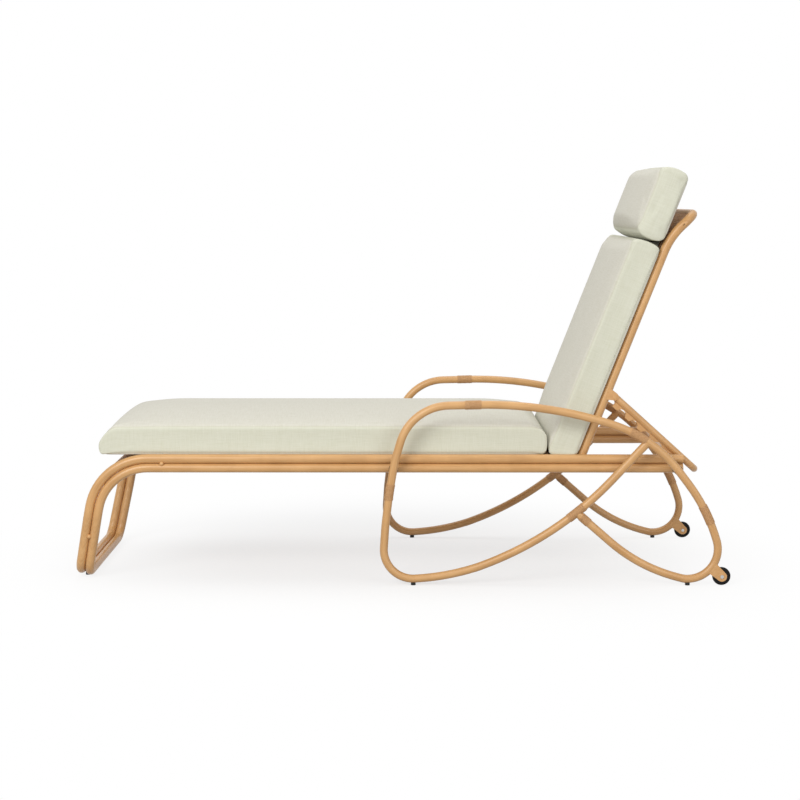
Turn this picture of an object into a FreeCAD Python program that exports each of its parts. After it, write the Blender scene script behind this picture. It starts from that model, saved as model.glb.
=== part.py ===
import FreeCAD, Part
import Sketcher
import math
import os

# Adjustable chaise lounge on two side hoops, with two small wheels at the rear corners.
# +X points to the rear, the foot end is at -X, the sitter's left is at -Y, the floor is z = 0.

os.makedirs("parts", exist_ok=True)
doc = FreeCAD.newDocument("ChaiseLounge")
vec = FreeCAD.Vector

# Driving dimensions in millimetres and degrees
sizes = {
    # tubes
    "rail_od": 25.0,
    "hoop_od": 22.0,
    "prop_od": 19.0,
    "bar_od": 19.0,
    "tube_wall": 1.5,
    "tube_gap": 0.2,
    # half spacing of the rails, and how far the hoops, feet and back rest stand off it
    "rail_y": 292.0,
    "hoop_stand": 48.0,
    "foot_inset": 28.0,
    "back_inset": 28.0,
    # rails and front legs, on the line where the two rails meet
    "rail_z": 327.0,
    "rail_tail": 16.7,
    "leg_top_x": -813.6,
    "leg_lean": 11.0,
    "leg_bend_r": 150.0,
    "leg_cant_drop": 150.0,
    "leg_cant_r": 150.0,
    "foot_bend_r": 45.0,
    "foot_lift": 5.0,
    "cap_flange": 2.0,
    "cap_stem": 10.0,
    "cap_clear": 0.15,
    # weld beads
    "bead_r": 6.0,
    "bead_out": 9.0,
    "bead_leg_share": 0.35,
    "bead_rail_x": -650.0,
    # arm tube of a hoop: corner places and bend radii
    "splice_x": -29.0,
    "splice_z": 256.0,
    "arm_low_x": -14.0,
    "arm_low_z": 341.0,
    "arm_low_r": 305.0,
    "arm_front_x": 29.0,
    "arm_front_z": 489.0,
    "arm_front_r": 139.0,
    "arm_top_x": 394.0,
    "arm_top_z": 498.0,
    "arm_top_r": 1090.0,
    "arm_rear_x": 685.0,
    "arm_rear_z": 403.0,
    "arm_rear_r": 376.0,
    "rear_leg_x": 834.0,
    "rear_leg_z": 207.0,
    "rear_leg_r": 495.0,
    "rear_foot_x": 898.0,
    "rear_foot_z": -9.0,
    "rear_foot_r": 81.0,
    "rear_run_x": 660.0,
    "rear_run_z": 41.0,
    "rear_run_r": 456.0,
    "tail_x": 478.0,
    # brace tube of a hoop
    "brace_low_x": -40.0,
    "brace_low_z": 163.0,
    "brace_low_r": 501.0,
    "front_foot_x": -50.0,
    "front_foot_z": 12.0,
    "front_foot_r": 80.0,
    "brace_run_x": 134.0,
    "brace_run_z": 23.0,
    "brace_run_r": 654.0,
    "brace_rise_x": 418.0,
    "brace_rise_z": 121.0,
    "brace_rise_r": 916.0,
    "brace_top_x": 669.0,
    # bindings round the hoop tubes
    "binding_wall": 0.9,
    "binding_clear": 0.1,
    "binding_top_x": 197.0,
    "binding_top_len": 44.0,
    "binding_splice_len": 44.0,
    "binding_cross_len": 54.0,
    "binding_tail_reach": 33.0,
    "binding_arm_x": 643.0,
    "binding_arm_len": 50.0,
    "binding_rear_z": 194.0,
    "binding_rear_len": 54.0,
    # spacers and bolts between hoops and rails
    "spacer_od": 24.0,
    "spacer_bolt_d": 6.0,
    "bolt_clear": 0.1,
    "bolt_head_d": 11.0,
    "bolt_head_h": 2.4,
    # glides
    "glide_d": 13.0,
    "glide_rise": 10.0,
    "foot_glide_inset": 59.0,
    # wheels
    "wheel_d": 49.0,
    "wheel_w": 15.2,
    "wheel_tube_gap": 1.0,
    "wheel_angle": -38.5,
    "wheel_side_gap": 0.4,
    "tyre_wall": 8.0,
    "axle_d": 6.0,
    "axle_run": 0.05,
    "fork_plate": 2.6,
    "fork_end_r": 13.5,
    "fork_upper_angle": -25.0,
    "fork_lower_angle": -49.0,
    "axle_head_d": 10.0,
    "axle_head_h": 2.5,
    "axle_nut_h": 4.0,
    # seat deck and the tubes under it
    "deck_t": 4.0,
    "deck_drop": 3.0,
    "deck_side_gap": 0.8,
    "deck_rear_back": 30.0,
    "deck_front_turn": 55.0,
    "stretcher_od": 22.0,
    "stretcher_front_back": 213.6,
    "stretcher_rear_back": 65.0,
    # back rest: hinge place, lean from vertical, course of its side tubes
    "hinge_x": 495.0,
    "back_lean": 21.3,
    "back_tail": 14.0,
    "back_bend_s": 650.0,
    "back_bend_r": 200.0,
    "back_bend_turn": 27.0,
    "back_top_len": 87.0,
    "back_corner_r": 45.0,
    "hinge_bolt_d": 8.0,
    "hinge_run": 0.05,
    "hinge_head_d": 15.0,
    "hinge_head_h": 4.0,
    "washer_od": 21.0,
    "washer_gap": 0.3,
    "back_bar_first_s": 42.0,
    "back_bar_second_s": 300.0,
    "back_bar_third_s": 570.0,
    "back_deck_start_s": 20.0,
    "back_deck_front": 10.0,
    # prop: pivot place on the back rest, handle, notches
    "prop_s": 190.0,
    "prop_offset": 22.5,
    "prop_pin_d": 8.0,
    "prop_run": 0.05,
    "prop_len": 306.0,
    "prop_corner_r": 40.0,
    "eye_r": 9.2,
    "lug_t": 3.0,
    "lug_gap": 0.4,
    "lug_r": 10.5,
    "lug_foot": 17.0,
    "pin_head_d": 12.0,
    "pin_head_h": 1.4,
    "notch_bar_back": 33.0,
    "notch_count": 5.0,
    "notch_clear": 2.0,
    "notch_rim": 2.0,
    "notch_seat_gap": 0.3,
    "notch_flare": 4.5,
    "plate_t": 5.0,
    "plate_start": 14.0,
    "plate_end": 26.0,
    "plate_depth": 24.0,
    # cushions
    "cushion_gap": 0.3,
    "seat_len": 1226.0,
    "seat_rear_back": 93.0,
    "pad_side_back": 2.0,
    "seat_side_h": 83.0,
    "seat_crown": 27.0,
    "seat_end_fall": 150.0,
    "back_pad_lift": 0.7,
    "back_pad_start": 6.0,
    "back_pad_len": 605.0,
    "back_pad_heel": 5.5,
    "back_pad_side": 82.0,
    "back_pad_crown": 22.0,
    "back_pad_fall": 60.0,
    "back_pad_foot_fall": 150.0,
    "head_pad_gap": 3.0,
    "head_pad_len": 202.0,
    "head_pad_fall": 45.0,
    "pad_edge": 12.0,
    "pad_corner": 42.0,
    "pad_draw": 5.0,
    "pad_end_bulge": 9.0,
    "pad_plan_over": 3.0,
    "strip_t": 1.0,
    "strip_side_back": 90.0,
    "strip_reach": 30.0,
}
sheet = doc.addObject("Spreadsheet::Sheet", "Sizes")
for row, (alias, number) in enumerate(sizes.items(), start=1):
    sheet.set("A%d" % row, alias)
    sheet.set("B%d" % row, str(number))
    sheet.setAlias("B%d" % row, alias)
doc.recompute()


def size(alias):
    """Read one driving dimension back from the sheet."""
    return float(sheet.get(alias))


# Half spacings that follow the rails, as numbers and as expressions for the sheet's users
rail_half = size("rail_y")
hoop_half = size("rail_y") + size("hoop_stand")
foot_half = size("rail_y") - size("foot_inset")
back_half = size("rail_y") - size("back_inset")
pad_half = size("rail_y") - size("pad_side_back")
hoop_mid = "(Sizes.rail_y + Sizes.hoop_stand)"
back_mid = "(Sizes.rail_y - Sizes.back_inset)"

kept = []


def keep(obj, label):
    """Name a sub-part and put it on the list of parts to write."""
    obj.Label = label
    kept.append(obj)
    return obj


def bind(obj, **expressions):
    """Tie properties of an object to cells of the sheet."""
    for name, expression in expressions.items():
        obj.setExpression(name, expression)
    return obj


# Plane geometry: every route and outline is drawn in x and z


def flat(x, z):
    return vec(x, 0, z)


def unit(x, z):
    return flat(x, z).normalize()


def corner_arc(before, corner, after, radius):
    """Start, middle, end and centre of the arc that rounds a corner of a route."""
    back = (before - corner).normalize()
    ahead = (after - corner).normalize()
    half = back.getAngle(ahead) / 2
    reach = radius / math.tan(half)
    bisector = (back + ahead).normalize()
    centre = corner + bisector * (radius / math.sin(half))
    return corner + back * reach, centre - bisector * radius, corner + ahead * reach, centre


def route(points, radii):
    """Lines joined by tangent arcs: the way a bent tube runs."""
    pieces = []
    start = points[0]
    for before, corner, after, radius in zip(points, points[1:], points[2:], radii):
        first, middle, last, centre = corner_arc(before, corner, after, radius)
        pieces.append(Part.LineSegment(start, first))
        pieces.append(Part.Arc(first, middle, last))
        start = last
    pieces.append(Part.LineSegment(start, points[-1]))
    return pieces


def shifted(points, radii, distance):
    """The same route moved sideways, to its left as it runs, in the x-z plane."""
    ways = [(after - before).normalize() for before, after in zip(points, points[1:])]
    sides = [flat(-way.z, way.x) for way in ways]
    moved = [points[0] + sides[0] * distance]
    bends = []
    for point, radius, side, next_side, way in zip(points[1:], radii, sides, sides[1:], ways):
        moved.append(point + (side + next_side) * (distance / (1 + side.dot(next_side))))
        turns_left = way.x * next_side.x + way.z * next_side.z < 0
        bends.append(radius - distance if turns_left else radius + distance)
    moved.append(points[-1] + sides[-1] * distance)
    return moved, bends


def crossing(pieces, x=None, z=None, least_x=-math.inf):
    """Point and direction where a route crosses the line at x, or at z beyond least_x."""
    far = 5000
    if x is not None:
        cut = Part.makeLine(flat(x, -far), flat(x, far))
    else:
        cut = Part.makeLine(flat(-far, z), flat(far, z))
    for piece in pieces:
        edge = piece.toShape()
        gap, pairs, info = edge.distToShape(cut)
        if gap < 1e-6 and pairs[0][0].x >= least_x:
            point = pairs[0][0]
            return point, edge.tangentAt(edge.Curve.parameter(point))
    raise ValueError("the route doesn't cross that line")


def flipped(point):
    """The same point on the other side of the chaise."""
    return vec(point.x, -point.y, point.z)


# Building blocks: sketched bodies, primitives and booleans


def plane_sketch(body, pieces):
    """A sketch on the x-z plane of a body."""
    sketch = body.newObject("Sketcher::SketchObject", body.Name + "_outline")
    plane = [item for item in body.Origin.OriginFeatures if item.Role == "XZ_Plane"][0]
    sketch.AttachmentSupport = [(plane, "")]
    sketch.MapMode = "FlatFace"
    for piece in pieces:
        drawn = piece.toShape().copy()
        drawn.rotate(vec(0, 0, 0), vec(1, 0, 0), -90)
        ends = drawn.Vertexes
        if isinstance(piece, Part.LineSegment):
            sketch.addGeometry(Part.LineSegment(ends[0].Point, ends[1].Point), False)
        else:
            middle = drawn.valueAt((drawn.FirstParameter + drawn.LastParameter) / 2)
            arc = Part.Arc(drawn.valueAt(drawn.FirstParameter), middle, drawn.valueAt(drawn.LastParameter))
            sketch.addGeometry(arc, False)
    return sketch


def tube_body(name, pieces, outside, bore, y):
    """A tube bent in a plane parallel to x-z: a ring swept along its route."""
    body = doc.addObject("PartDesign::Body", name)
    path = plane_sketch(body, pieces)
    doc.recompute()
    ring = body.newObject("Sketcher::SketchObject", name + "_ring")
    ring.AttachmentSupport = [(path, "Edge1")]
    ring.MapMode = "NormalToEdge"
    for index, across in enumerate([outside, bore] if bore else [outside]):
        ring.addGeometry(Part.Circle(vec(0, 0, 0), vec(0, 0, 1), 10 - 2 * index), False)
        ring.addConstraint(Sketcher.Constraint("Coincident", index, 3, -1, 1))
        rule = ring.addConstraint(Sketcher.Constraint("Diameter", index, 20 - 4 * index))
        ring.setExpression("Constraints[%d]" % rule, across)
    pipe = body.newObject("PartDesign::AdditivePipe", name + "_pipe")
    pipe.Profile = ring
    pipe.Spine = (path, ["Edge%d" % (index + 1) for index in range(len(pieces))])
    bind(body, **{".Placement.Base.y": y})
    return body


def plate_body(name, pieces, thickness, y):
    """A flat plate: its outline in x-z, padded along y about the plane at y."""
    body = doc.addObject("PartDesign::Body", name)
    outline = plane_sketch(body, pieces)
    pad = body.newObject("PartDesign::Pad", name + "_pad")
    pad.Profile = outline
    pad.SideType = "Symmetric"
    bind(pad, Length=thickness)
    bind(body, **{".Placement.Base.y": y})
    return body


def cylinder(name, across, length, x, z, y):
    """A cylinder along y, centred at y."""
    rod = doc.addObject("Part::Cylinder", name)
    bind(rod, Radius="(%s) / 2" % across, Height=length)
    rod.Placement = FreeCAD.Placement(vec(x, 0, z), FreeCAD.Rotation(vec(1, 0, 0), 90))
    bind(rod, **{".Placement.Base.y": "(%s) + (%s) / 2" % (y, length)})
    return rod


def post(name, across, height, x, y):
    """A cylinder that stands on the floor."""
    rod = doc.addObject("Part::Cylinder", name)
    bind(rod, Radius="(%s) / 2" % across, Height=height)
    rod.Placement.Base = vec(x, y, 0)
    return rod


def block(name, point, way, length, y):
    """A box across a tube, centred at a point of its route and square to it."""
    reach = 2 * size("hoop_od")
    box = doc.addObject("Part::Box", name)
    box.Length = length
    box.Width = reach
    box.Height = reach
    turn = FreeCAD.Rotation(vec(1, 0, 0), way)
    corner = turn.multVec(vec(-length / 2, -reach / 2, -reach / 2))
    box.Placement = FreeCAD.Placement(point + vec(0, y, 0) + corner, turn)
    return box


def cut(name, base, *tools):
    """What is left of a solid when the tools are taken out of it."""
    for index, tool in enumerate(tools):
        piece = doc.addObject("Part::Cut", "%s_%d" % (name, index))
        piece.Base = base
        piece.Tool = tool
        base = piece
    return base


def common(name, base, tool):
    piece = doc.addObject("Part::Common", name)
    piece.Base = base
    piece.Tool = tool
    return piece


def fused(name, shapes):
    piece = doc.addObject("Part::MultiFuse", name)
    piece.Shapes = shapes
    return piece


def group(name, links):
    """Separate solids kept together in one sub-part."""
    piece = doc.addObject("Part::Compound", name)
    piece.Links = links
    return piece


def shape_feature(name, shape):
    piece = doc.addObject("Part::Feature", name)
    piece.Shape = shape
    return piece


def bent_tube(pieces, outside, bore=0):
    """A tube whose route leaves the x-z plane."""
    wire = Part.Wire([piece.toShape() for piece in pieces])
    start = wire.Edges[0].firstVertex().Point
    way = pieces[0].toShape().tangentAt(0)
    skins = []
    for across in [outside, bore] if bore else [outside]:
        ring = Part.Wire(Part.makeCircle(across / 2, start, way))
        skins.append(wire.makePipeShell([ring], True, False))
    return skins[0].cut(skins[1]) if bore else skins[0]


# Heights of the two rails, which lie one on the other

rail_r = size("rail_od") / 2
rail_bore = size("rail_od") - 2 * size("tube_wall")
pitch = rail_r + size("tube_gap") / 2
upper_z = size("rail_z") + pitch
lower_z = size("rail_z") - pitch
rail_top = upper_z + rail_r

# Course of the arm tube of a hoop, and the places where the hoop is bolted to the lower rail

arm_points = [
    flat(size("splice_x"), size("splice_z")),
    flat(size("arm_low_x"), size("arm_low_z")),
    flat(size("arm_front_x"), size("arm_front_z")),
    flat(size("arm_top_x"), size("arm_top_z")),
    flat(size("arm_rear_x"), size("arm_rear_z")),
    flat(size("rear_leg_x"), size("rear_leg_z")),
    flat(size("rear_foot_x"), size("rear_foot_z")),
    flat(size("rear_run_x"), size("rear_run_z")),
]
arm_bends = [size(name + "_r") for name in ["arm_low", "arm_front", "arm_top", "arm_rear", "rear_leg"]]
arm_bends += [size("rear_foot_r"), size("rear_run_r")]
arm_part = route(arm_points[:7], arm_bends[:5])
front_spacer_place = crossing(arm_part, z=lower_z)[0]
rear_spacer_place = crossing(arm_part, z=lower_z, least_x=size("arm_top_x"))[0]
spacer_places = [front_spacer_place, rear_spacer_place]
rail_rear = spacer_places[1].x + size("rail_tail")

# Rails: two tubes, one inside the other, each running down one leg, across the floor and back

lean = math.radians(size("leg_lean"))
leg_way = unit(-math.sin(lean), -math.cos(lean))
leg_top = flat(size("leg_top_x"), size("rail_z"))
foot_corner_z = size("foot_lift") + rail_r + pitch * math.sin(lean)
leg_foot = leg_top + leg_way * ((leg_top.z - foot_corner_z) / math.cos(lean))
cant_start = leg_top + leg_way * size("leg_cant_drop")
rail_line = [flat(rail_rear, size("rail_z")), leg_top, cant_start, leg_foot]
rail_bends = [size("leg_bend_r"), size("leg_cant_r")]


def rail_route(side_shift):
    """Route of one rail loop, shifted up and forward or down and back from the joint line."""
    points, bends = shifted(rail_line, rail_bends, side_shift)
    bends[1] = size("leg_cant_r")
    half_widths = [rail_half, rail_half, rail_half, foot_half]
    near = [point - vec(0, half, 0) for point, half in zip(points, half_widths)]
    far = [flipped(point) for point in reversed(near)]
    foot_bend = size("foot_bend_r")
    return route(near + far, bends + [foot_bend, foot_bend] + bends[::-1])


upper_route = rail_route(-pitch)
lower_route = rail_route(pitch)
upper_core = shape_feature("upper_core", bent_tube(upper_route, size("rail_od")))
lower_core = shape_feature("lower_core", bent_tube(lower_route, size("rail_od")))
upper_hollow = shape_feature("upper_hollow", bent_tube(upper_route, size("rail_od"), rail_bore))
lower_hollow = shape_feature("lower_hollow", bent_tube(lower_route, size("rail_od"), rail_bore))
sides = [("left", -1, "-1"), ("right", 1, "1")]

# Hoops: an arm tube and a brace tube on each side, joined where they meet

brace_top, brace_top_way = crossing(arm_part, x=size("brace_top_x"))
brace_points = [
    arm_points[0],
    flat(size("brace_low_x"), size("brace_low_z")),
    flat(size("front_foot_x"), size("front_foot_z")),
    flat(size("brace_run_x"), size("brace_run_z")),
    flat(size("brace_rise_x"), size("brace_rise_z")),
    brace_top,
]
brace_bends = [size(name + "_r") for name in ["brace_low", "front_foot", "brace_run", "brace_rise"]]
brace_route = route(brace_points, brace_bends)
tail_end, cross_way = crossing(brace_route, x=size("tail_x"))
arm_route = route(arm_points + [tail_end], arm_bends)
rear_foot_arc = corner_arc(arm_points[5], arm_points[6], arm_points[7], size("rear_foot_r"))
front_foot_arc = corner_arc(brace_points[1], brace_points[2], brace_points[3], size("front_foot_r"))
hoop_r = size("hoop_od") / 2
hoop_od = "Sizes.hoop_od"
hoop_bore = "Sizes.hoop_od - 2 * Sizes.tube_wall"
sleeve_bore = "Sizes.hoop_od + 2 * Sizes.binding_clear"
sleeve_od = "Sizes.hoop_od + 2 * Sizes.binding_clear + 2 * Sizes.binding_wall"

spacer_bolt = "Sizes.spacer_bolt_d"
spacer_hole = "Sizes.spacer_bolt_d + 2 * Sizes.bolt_clear"
spacer_mid_y = "(Sizes.rail_y + Sizes.hoop_stand / 2)"
spacer_span = "Sizes.hoop_stand"

# Place of the wheel, a set distance outside the rear corner of the hoop
wheel_r = size("wheel_d") / 2
wheel_turn = math.radians(size("wheel_angle"))
wheel_reach = size("rear_foot_r") + hoop_r + size("wheel_tube_gap") + wheel_r
wheel_place = rear_foot_arc[3] + flat(math.cos(wheel_turn), math.sin(wheel_turn)) * wheel_reach
axle_d = "Sizes.axle_d"


def fork_outline():
    """Tongue from the centre line of the hoop's corner to a round end about the axle."""
    corner_centre = rear_foot_arc[3]
    roots = []
    for name in ["fork_lower_angle", "fork_upper_angle"]:
        turn = math.radians(size(name))
        roots.append(corner_centre + flat(math.cos(turn), math.sin(turn)) * size("rear_foot_r"))
    return tongue(roots[0], roots[1], wheel_place, size("fork_end_r"))


def tongue(low, high, centre, radius):
    """Outline from two root points to a round end, with sides tangent to the end."""
    outward = (centre - (low + high) * 0.5).normalize()
    ends = []
    for root in [low, high]:
        away = root - centre
        spread = math.acos(radius / away.Length)
        base = math.atan2(away.z, away.x)
        options = [base + spread, base - spread]
        tips = [centre + flat(math.cos(turn), math.sin(turn)) * radius for turn in options]
        other = high if root is low else low
        ends.append(max(tips, key=lambda tip: (tip - other).Length))
    return [
        Part.LineSegment(high, low),
        Part.LineSegment(low, ends[0]),
        Part.Arc(ends[0], centre + outward * radius, ends[1]),
        Part.LineSegment(ends[1], high),
    ]


hoop_tools = {}
bolt_tools = []
spacers = []
spacer_bolts = []
hoop_glides = []
for side, sign, factor in sides:
    hoop_y = "%s * %s" % (factor, hoop_mid)
    plane_y = sign * hoop_half
    arm_core_part = tube_body(side + "_arm_core_part", arm_part, hoop_od, None, hoop_y)
    brace_whole = tube_body(side + "_brace_whole", brace_route, hoop_od, None, hoop_y)
    brace_bent = tube_body(side + "_brace_bent", brace_route, hoop_od, hoop_bore, hoop_y)
    brace_core = cut(side + "_brace_core", brace_whole, arm_core_part)
    brace_hollow = cut(side + "_brace_hollow", brace_bent, arm_core_part)
    arm_whole = tube_body(side + "_arm_whole", arm_route, hoop_od, None, hoop_y)
    arm_bent = tube_body(side + "_arm_bent", arm_route, hoop_od, hoop_bore, hoop_y)
    # the arm tube meets the brace tube face to face in the splice, and its other end fits round it
    tail_box = block(side + "_tail_box", tail_end, cross_way, 3 * size("hoop_od"), plane_y)
    tail_tool = common(side + "_tail_tool", brace_whole, tail_box)
    arm_core = cut(side + "_arm_core", arm_whole, tail_tool)
    arm_hollow = cut(side + "_arm_hollow", arm_bent, tail_tool)
    mid_y = "%s * %s" % (factor, spacer_mid_y)
    shank_ends = []
    for index, place in enumerate(spacer_places):
        name = "%s_spacer_%d" % (side, index)
        hole_y = "%s * (Sizes.rail_y + Sizes.hoop_stand / 2 - Sizes.rail_od)" % factor
        hole_length = "Sizes.hoop_stand + 2 * Sizes.rail_od"
        hole = cylinder(name + "_hole", spacer_hole, hole_length, place.x, place.z, hole_y)
        shank_ends.append(hole)
        puck = cylinder(name + "_puck", "Sizes.spacer_od", spacer_span, place.x, place.z, mid_y)
        spacers.append(cut(name, puck, lower_core, arm_core, hole))
        shank_y = "%s * (Sizes.rail_y + Sizes.hoop_stand / 2 - Sizes.rail_od / 4)" % factor
        shank_length = "Sizes.hoop_stand + Sizes.rail_od / 2"
        shank = cylinder(name + "_shank", spacer_bolt, shank_length, place.x, place.z, shank_y)
        head_y = "%s * (Sizes.rail_y - Sizes.rail_od / 2 - Sizes.bolt_head_h / 2)" % factor
        head = cylinder(name + "_head", "Sizes.bolt_head_d", "Sizes.bolt_head_h", place.x, place.z, head_y)
        spacer_bolts.append(fused(name + "_bolt", [shank, head]))
    bolt_tools += shank_ends
    keep(cut(side + "_arm_drilled", arm_hollow, *shank_ends), side + "_arm_tube")
    keep(brace_hollow, side + "_brace_tube")
    hoop_tools[side] = (arm_core, brace_core)

    # bindings: thin sleeves over short stretches of the two tubes
    arm_sleeve = tube_body(side + "_arm_sleeve", arm_route, sleeve_od, sleeve_bore, hoop_y)
    brace_sleeve = tube_body(side + "_brace_sleeve", brace_route, sleeve_od, sleeve_bore, hoop_y)
    arm_room = tube_body(side + "_arm_room", arm_route, sleeve_bore, None, hoop_y)
    brace_room = tube_body(side + "_brace_room", brace_route, sleeve_bore, None, hoop_y)
    splice = arm_points[0]
    splice_way = (arm_points[1] - splice).normalize()
    half_splice = size("binding_splice_len") / 2
    splice_middle = splice + splice_way * (half_splice / 2)
    top_place, top_way = crossing(arm_part, x=size("binding_top_x"))
    arm_place, arm_way = crossing(arm_part, x=size("binding_arm_x"))
    rear_place, rear_way = crossing(arm_part, z=size("binding_rear_z"), least_x=size("arm_top_x"))
    tail_way = (arm_points[7] - tail_end).normalize()
    tail_reach = size("binding_tail_reach")
    tail_middle = tail_end + tail_way * (tail_reach / 2 + hoop_r)
    arm_boxes = [
        block(side + "_box_top", top_place, top_way, size("binding_top_len"), plane_y),
        block(side + "_box_splice", splice_middle, splice_way, half_splice, plane_y),
        block(side + "_box_arm", arm_place, arm_way, size("binding_arm_len"), plane_y),
        block(side + "_box_rear", rear_place, rear_way, size("binding_rear_len"), plane_y),
        block(side + "_box_tail", tail_middle, tail_way, tail_reach, plane_y),
    ]
    low_way = (brace_points[1] - brace_points[0]).normalize()
    brace_boxes = [
        block(side + "_box_low", splice + low_way * (half_splice / 2), low_way, half_splice, plane_y),
        block(side + "_box_cross", tail_end, cross_way, size("binding_cross_len"), plane_y),
    ]
    brace_places = fused(side + "_brace_boxes", brace_boxes)
    brace_bands = common(side + "_brace_bands", brace_sleeve, brace_places)
    brace_wraps = cut(side + "_brace_wraps", brace_bands, arm_room)
    arm_places = fused(side + "_arm_boxes", arm_boxes)
    arm_bands = common(side + "_arm_bands", arm_sleeve, arm_places)
    arm_wraps = cut(side + "_arm_wraps", arm_bands, brace_room, brace_wraps)
    keep(group(side + "_wraps", [arm_wraps, brace_wraps]), side + "_bindings")

    # glides under the lowest points of the hoop
    for name, arc, core in [("front", front_foot_arc, brace_core), ("rear", rear_foot_arc, arm_core)]:
        pad = post("%s_%s_pad" % (side, name), "Sizes.glide_d", "Sizes.glide_rise", arc[3].x, plane_y)
        hoop_glides.append(cut("%s_%s_glide" % (side, name), pad, core))

    # wheel fork, axle bolt and nut
    plates = []
    gap = "(Sizes.wheel_w / 2 + Sizes.wheel_side_gap + Sizes.fork_plate / 2)"
    hole_depth = "2 * Sizes.hoop_od"
    axle_hole = cylinder(side + "_axle_hole", axle_d, hole_depth, wheel_place.x, wheel_place.z, hoop_y)
    for name, way in [("outer", factor), ("inner", "-1 * " + factor)]:
        plate = plate_body("%s_%s_fork" % (side, name), fork_outline(), "Sizes.fork_plate",
                           "%s + %s * %s" % (hoop_y, way, gap))
        plates.append(cut("%s_%s_fork_cut" % (side, name), plate, arm_core, axle_hole))
    keep(group(side + "_fork", plates), side + "_wheel_fork")
    outside_gap = "(Sizes.wheel_w / 2 + Sizes.wheel_side_gap + Sizes.fork_plate)"
    axle_length = "2 * %s + Sizes.axle_nut_h" % outside_gap
    axle_y = "%s - %s * Sizes.axle_nut_h / 2" % (hoop_y, factor)
    axle = cylinder(side + "_axle", axle_d, axle_length, wheel_place.x, wheel_place.z, axle_y)
    head_y = "%s + %s * (%s + Sizes.axle_head_h / 2)" % (hoop_y, factor, outside_gap)
    axle_head = cylinder(side + "_axle_head", "Sizes.axle_head_d", "Sizes.axle_head_h", wheel_place.x,
                         wheel_place.z, head_y)
    keep(fused(side + "_axle_bolt_whole", [axle, axle_head]), side + "_axle_bolt")
    nut = doc.addObject("Part::Prism", side + "_nut")
    nut.Polygon = 6
    bind(nut, Circumradius="Sizes.axle_head_d / 2", Height="Sizes.axle_nut_h")
    nut_turn = FreeCAD.Rotation(vec(1, 0, 0), 90)
    nut.Placement = FreeCAD.Placement(vec(wheel_place.x, 0, wheel_place.z), nut_turn)
    bind(nut, **{".Placement.Base.y": "%s - %s * (%s + Sizes.axle_nut_h / 2) + Sizes.axle_nut_h / 2"
                 % (hoop_y, factor, outside_gap)})
    keep(cut(side + "_nut_cut", nut, axle), side + "_axle_nut")

    # wheel: a tyre round a hub that turns on the axle
    disc = cylinder(side + "_disc", "Sizes.wheel_d", "Sizes.wheel_w", wheel_place.x, wheel_place.z, hoop_y)
    hub_d = "Sizes.wheel_d - 2 * Sizes.tyre_wall"
    hub = cylinder(side + "_hub_disc", hub_d, "Sizes.wheel_w", wheel_place.x, wheel_place.z, hoop_y)
    hub_bore = cylinder(side + "_hub_bore", "Sizes.axle_d + 2 * Sizes.axle_run", "2 * Sizes.wheel_w",
                        wheel_place.x, wheel_place.z, hoop_y)
    keep(cut(side + "_tyre_ring", disc, hub), side + "_tyre")
    keep(cut(side + "_hub_ring", hub, hub_bore), side + "_wheel_hub")

keep(group("spacers", spacers), "hoop_spacers")
keep(group("spacer_bolts", spacer_bolts), "hoop_bolts")
keep(group("hoop_pads", hoop_glides), "hoop_glides")

# Glides under the floor bars, in the groove between the two tubes
foot_pads = []
for side, sign, factor in sides:
    glide_y = sign * (foot_half - size("foot_glide_inset"))
    pad = post(side + "_foot_pad", "Sizes.glide_d", "Sizes.glide_rise", leg_foot.x, glide_y)
    foot_pads.append(cut(side + "_foot_glide", pad, upper_core, lower_core))
keep(group("foot_pads", foot_pads), "front_glides")

# Weld beads in the groove between the two rails
beads = []
for side, sign, factor in sides:
    along = cant_start + (leg_foot - cant_start) * size("bead_leg_share")
    inward = size("foot_inset") * size("bead_leg_share")
    leg_place = along + vec(0, sign * (rail_half - inward + size("bead_out")), 0)
    rail_place = vec(size("bead_rail_x"), sign * (rail_half + size("bead_out")), size("rail_z"))
    for name, place in [("leg", leg_place), ("rail", rail_place)]:
        ball = doc.addObject("Part::Sphere", "%s_%s_ball" % (side, name))
        bind(ball, Radius="Sizes.bead_r")
        ball.Placement.Base = place
        beads.append(cut("%s_%s_bead" % (side, name), ball, upper_core, lower_core))
keep(group("beads", beads), "weld_beads")

# End caps in the rear ends of the rails
caps = []
for side, sign, factor in sides:
    for name, height in [("upper", upper_z), ("lower", lower_z)]:
        flange = doc.addObject("Part::Cylinder", "%s_%s_flange" % (side, name))
        bind(flange, Radius="Sizes.rail_od / 2", Height="Sizes.cap_flange")
        stem = doc.addObject("Part::Cylinder", "%s_%s_stem" % (side, name))
        bind(stem, Radius="Sizes.rail_od / 2 - Sizes.tube_wall - Sizes.cap_clear", Height="Sizes.cap_stem")
        turn = FreeCAD.Rotation(vec(0, 1, 0), 90)
        end = vec(rail_rear, sign * rail_half, height)
        flange.Placement = FreeCAD.Placement(end, turn)
        stem.Placement = FreeCAD.Placement(end - vec(size("cap_stem"), 0, 0), turn)
        caps.append(fused("%s_%s_cap" % (side, name), [flange, stem]))
keep(group("caps", caps), "rail_end_caps")

# Back rest: places along its side tubes (s, up from the hinge) and square to them (q, forward)

back_tilt = math.radians(90 - size("back_lean"))
hinge = flat(size("hinge_x"), upper_z)
back_up = flat(math.cos(back_tilt), math.sin(back_tilt))
back_front = flat(-math.sin(back_tilt), math.cos(back_tilt))


def back_point(s, q):
    return hinge + back_up * s + back_front * q


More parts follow.
